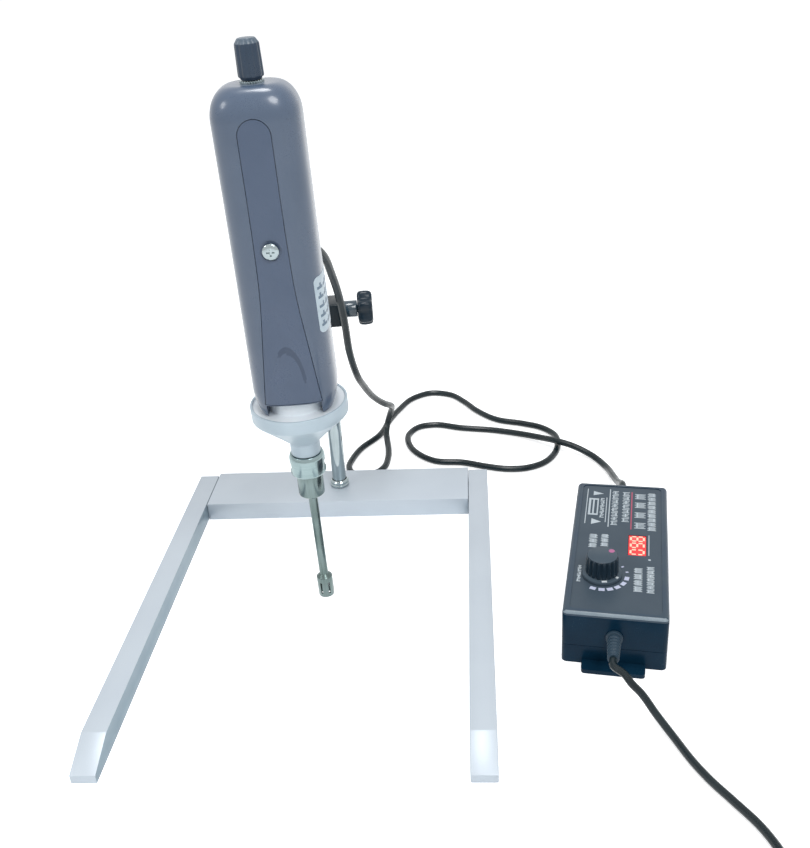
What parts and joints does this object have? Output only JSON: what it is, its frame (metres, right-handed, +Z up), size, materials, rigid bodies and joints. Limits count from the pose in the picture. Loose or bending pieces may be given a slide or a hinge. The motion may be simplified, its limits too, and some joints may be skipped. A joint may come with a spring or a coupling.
{
  "type": "handheld homogenizer on a rod stand",
  "caption": "Slate handheld lab homogenizer with a dispersing tool, held in a rod stand by a black clamp, with its adjustable low-voltage supply and cords.",
  "frame": {"origin": "on the bench, below the middle of the post", "axes": "+Z up, -Y the way the stand's legs reach (its front), +X towards the supply"},
  "size_m": [0.5383, 0.675, 0.3852],
  "materials": {
    "aluminium": "satin anodised",
    "bright_steel": "polished",
    "dark_steel": "dark",
    "black_paint": "satin",
    "black_plastic": "satin",
    "slate_plastic": "satin",
    "case_plastic": "satin",
    "copper": "wound copper",
    "board": "laminate",
    "nylon": "plain",
    "red_filter": "clear red",
    "cord_black": "satin"
  },
  "bodies": {
    "stand_and_supply": {"left_leg": "aluminium", "right_leg": "aluminium", "cross_beam": "aluminium", "post_nut": "bright_steel", "leg_screw_left_front": "dark_steel", "leg_screw_left_rear": "dark_steel", "leg_screw_right_front": "dark_steel", "leg_screw_right_rear": "dark_steel", "case_top": "case_plastic", "case_bottom": "case_plastic", "control_board": "board", "transformer": "copper", "voltage_pot": "dark_steel", "display_module": "black_plastic", "display_window": "red_filter", "dc_strain_relief": "black_plastic", "mains_strain_relief": "black_plastic", "case_screw_1": "dark_steel", "case_screw_2": "dark_steel", "case_screw_3": "dark_steel", "case_screw_4": "dark_steel", "dc_cord_floor": "cord_black", "mains_cord": "cord_black", "mains_coil": "cord_black", "coil_tie": "black_plastic", "mains_plug": "black_plastic"},
    "swivel_post": {"post": "bright_steel", "dc_cord_swing": "cord_black"},
    "clamp_block": {"boss_head": "black_paint", "dc_cord_drop": "cord_black"},
    "post_clamp": {"post_clamp_screw": "bright_steel", "post_clamp_knob": "black_plastic"},
    "rod_clamp": {"rod_clamp_screw": "bright_steel", "rod_clamp_knob": "black_plastic"},
    "drive": {"arm_rod": "bright_steel", "flange": "aluminium", "flange_set_screw": "dark_steel", "front_housing": "slate_plastic", "rear_housing": "slate_plastic", "front_panel": "slate_plastic", "housing_bolt": "bright_steel", "speed_pot": "dark_steel", "motor_can": "dark_steel", "motor_end_cap": "black_plastic", "bearing_front": "bright_steel", "bearing_rear": "bright_steel", "head_cord_gland": "black_plastic", "stator_tube": "bright_steel", "tube_bush": "nylon", "tool_sleeve": "bright_steel", "dc_cord_reach": "cord_black"},
    "speed_control": {"speed_knob": "black_plastic"},
    "rotor": {"armature": "copper", "cooling_fan": "black_plastic", "shaft_coupling": "bright_steel", "drive_shaft": "bright_steel", "tool_rotor": "bright_steel"},
    "union_nut": {"tool_nut": "bright_steel"},
    "voltage_control": {"voltage_knob": "black_plastic"}
  },
  "joints": [
    {"name": "post_swivel", "type": "hinge", "parent": "stand_and_supply", "child": "swivel_post", "pos_m": [0, 0, 0.1], "axis": [0, 0, 1], "range_deg": [-34, 34], "deforming": ["dc_cord_swing"]},
    {"name": "clamp_height", "type": "slide", "parent": "swivel_post", "child": "clamp_block", "axis": [0, 0, 1], "range_m": [-0.01, 0.004], "deforming": ["dc_cord_drop"]},
    {"name": "arm_reach", "type": "slide", "parent": "clamp_block", "child": "drive", "axis": [0.1114, -0.9931, -0.0358], "range_m": [-0.085, 0.012], "deforming": ["dc_cord_reach"]},
    {"name": "post_clamp_turn", "type": "hinge", "parent": "clamp_block", "child": "post_clamp", "pos_m": [0.01491, 0.00167, 0.1715], "axis": [0.9938, 0.1115, 0], "range_deg": [-360, 0]},
    {"name": "rod_clamp_turn", "type": "hinge", "parent": "clamp_block", "child": "rod_clamp", "pos_m": [-0.02783, -0.00312, 0.17125], "axis": [-0.9938, -0.1115, 0], "range_deg": [-360, 0]},
    {"name": "speed_knob_turn", "type": "hinge", "parent": "drive", "child": "speed_control", "pos_m": [0.00154, -0.16485, 0.37492], "axis": [-0.0167, -0.0379, 0.9991], "range_deg": [-150, 150]},
    {"name": "shaft_spin", "type": "hinge", "parent": "drive", "child": "rotor", "pos_m": [0.0042, -0.15879, 0.21506], "axis": [-0.0167, -0.0379, 0.9991], "continuous": true},
    {"name": "tool_nut_turn", "type": "hinge", "parent": "drive", "child": "union_nut", "pos_m": [0.00571, -0.15534, 0.12413], "axis": [-0.0167, -0.0379, 0.9991], "range_deg": [-360, 0]},
    {"name": "voltage_knob_turn", "type": "hinge", "parent": "stand_and_supply", "child": "voltage_control", "pos_m": [0.19864, -0.1713, 0.046], "axis": [0, 0, 1], "range_deg": [-150, 150]}
  ]
}
